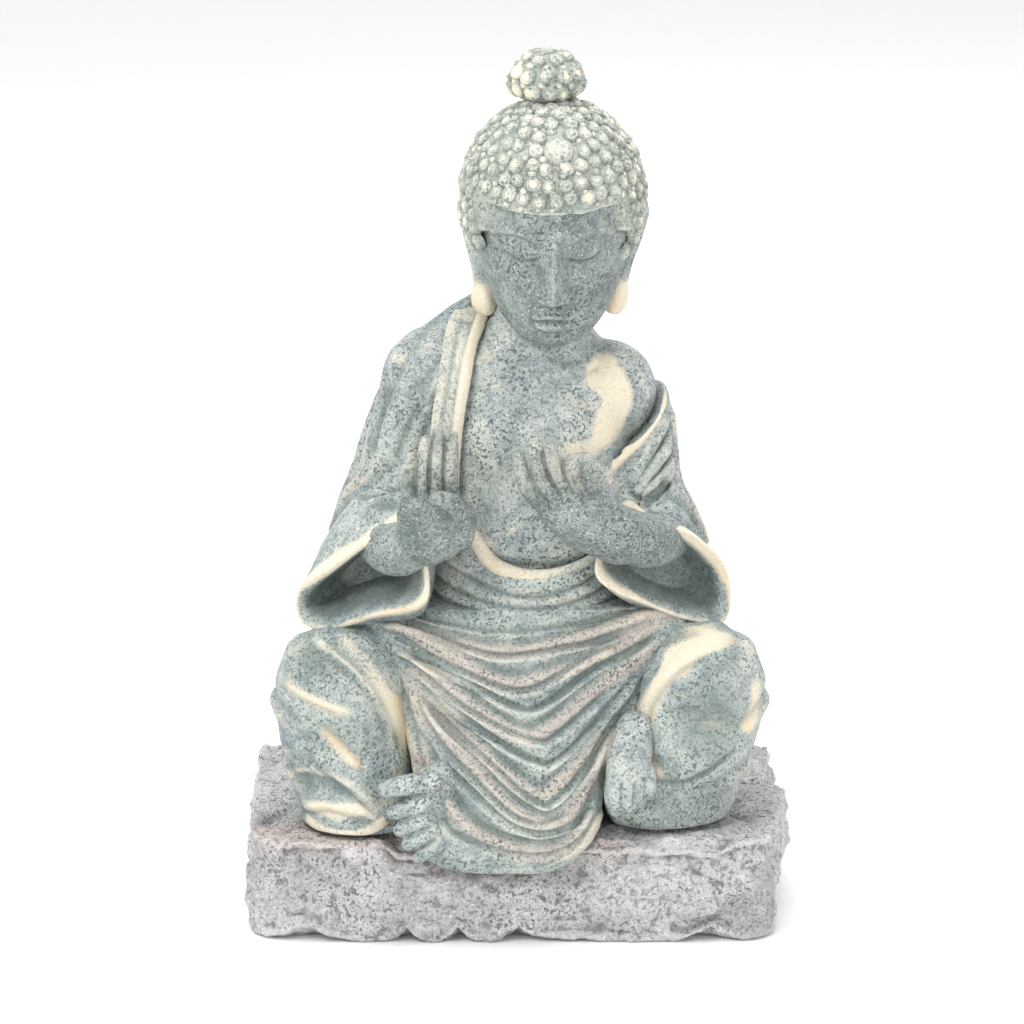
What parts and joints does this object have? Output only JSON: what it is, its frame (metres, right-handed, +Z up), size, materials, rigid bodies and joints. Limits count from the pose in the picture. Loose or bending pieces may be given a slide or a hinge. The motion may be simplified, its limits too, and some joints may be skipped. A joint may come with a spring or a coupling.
{
  "type": "seated buddha statue",
  "caption": "Carved stone figure seated in a draped robe on a rough-hewn rock plinth, one hand raised and one across the chest.",
  "frame": {"origin": "middle of the plinth's flat underside", "axes": "+Z up; the figure faces -Y; +X towards the figure's own left"},
  "size_m": [0.2673, 0.2036, 0.434],
  "materials": {
    "skin_stone": "rubbed smooth, pale grey-green with dark green grains and cream veins",
    "robe_stone": "rubbed matt, grey-green with tan and cream along the folds",
    "hair_stone": "point-carved curls, pale grey-green with dusty tops",
    "plinth_stone": "bush-hammered and broken, pale grey with dark grains and pinkish patches",
    "steel": "plain drawn stainless bar",
    "mortar": "grey bedding mortar"
  },
  "bodies": {
    "root": {"plinth": "plinth_stone", "mortar_bed": "mortar", "dowel_right": "steel", "dowel_left": "steel", "hips": "robe_stone", "torso": "skin_stone", "robe_body": "robe_stone", "lapel": "robe_stone", "waistband": "robe_stone", "right_sleeve": "robe_stone", "left_sleeve": "robe_stone", "right_hand": "skin_stone", "left_hand": "skin_stone", "lap_drape": "robe_stone", "right_leg": "robe_stone", "left_leg": "robe_stone", "right_foot": "skin_stone", "left_foot": "skin_stone", "head": "skin_stone", "right_ear": "skin_stone", "left_ear": "skin_stone", "hair_cap": "hair_stone", "topknot": "hair_stone", "hair_jewel": "hair_stone"}
  },
  "joints": []
}
